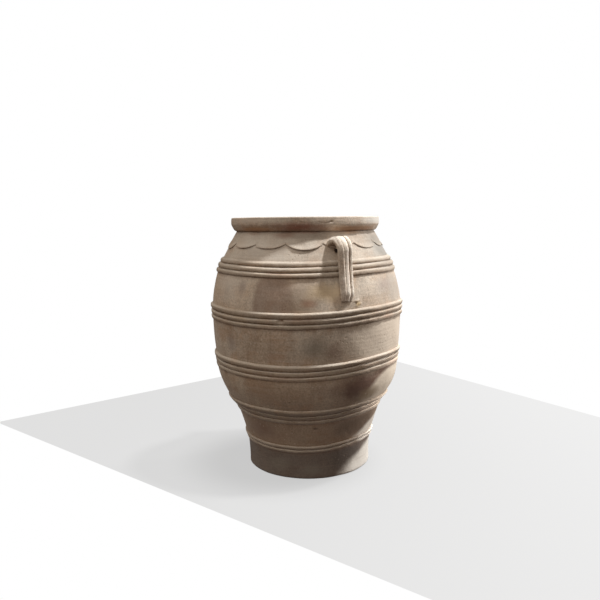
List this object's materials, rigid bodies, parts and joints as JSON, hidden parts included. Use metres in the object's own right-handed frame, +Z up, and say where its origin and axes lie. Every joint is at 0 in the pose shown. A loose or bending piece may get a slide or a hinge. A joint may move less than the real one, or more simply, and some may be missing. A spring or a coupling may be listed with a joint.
{
  "type": "flower pot",
  "caption": "Large barrel-shaped terracotta garden jar with a rolled rim, a scalloped apron, bands of applied coils, opposed strap handles and a drained flat foot, used as a planter.",
  "frame": {"origin": "centre of the foot's flat underside, on the jar's axis", "axes": "+Z up along the jar's axis, X through both handles"},
  "size_m": [0.6348, 0.6272, 0.8],
  "materials": {
    "clay_wall": "matt unglazed",
    "clay_coil": "matt unglazed, worn pale",
    "clay_handle": "matt unglazed, worn pale",
    "clay_foot": "matt unglazed, stained grey"
  },
  "bodies": {
    "root": {"floor_slab": "clay_foot", "foot_wall": "clay_foot", "rim": "clay_wall", "taper_wall": "clay_wall", "lower_belly": "clay_wall", "middle_belly": "clay_wall", "upper_belly": "clay_wall", "shoulder": "clay_wall", "shoulder_coil_top": "clay_coil", "shoulder_coil_middle": "clay_coil", "shoulder_coil_bottom": "clay_coil", "upper_coil_top": "clay_coil", "upper_coil_middle": "clay_coil", "upper_coil_bottom": "clay_coil", "middle_coil_top": "clay_coil", "middle_coil_middle": "clay_coil", "middle_coil_bottom": "clay_coil", "lower_coil_top": "clay_coil", "lower_coil_middle": "clay_coil", "lower_coil_bottom": "clay_coil", "foot_coil_top": "clay_coil", "foot_coil_bottom": "clay_coil", "apron": "clay_coil", "handle_right": "clay_handle", "handle_left": "clay_handle"}
  },
  "joints": []
}
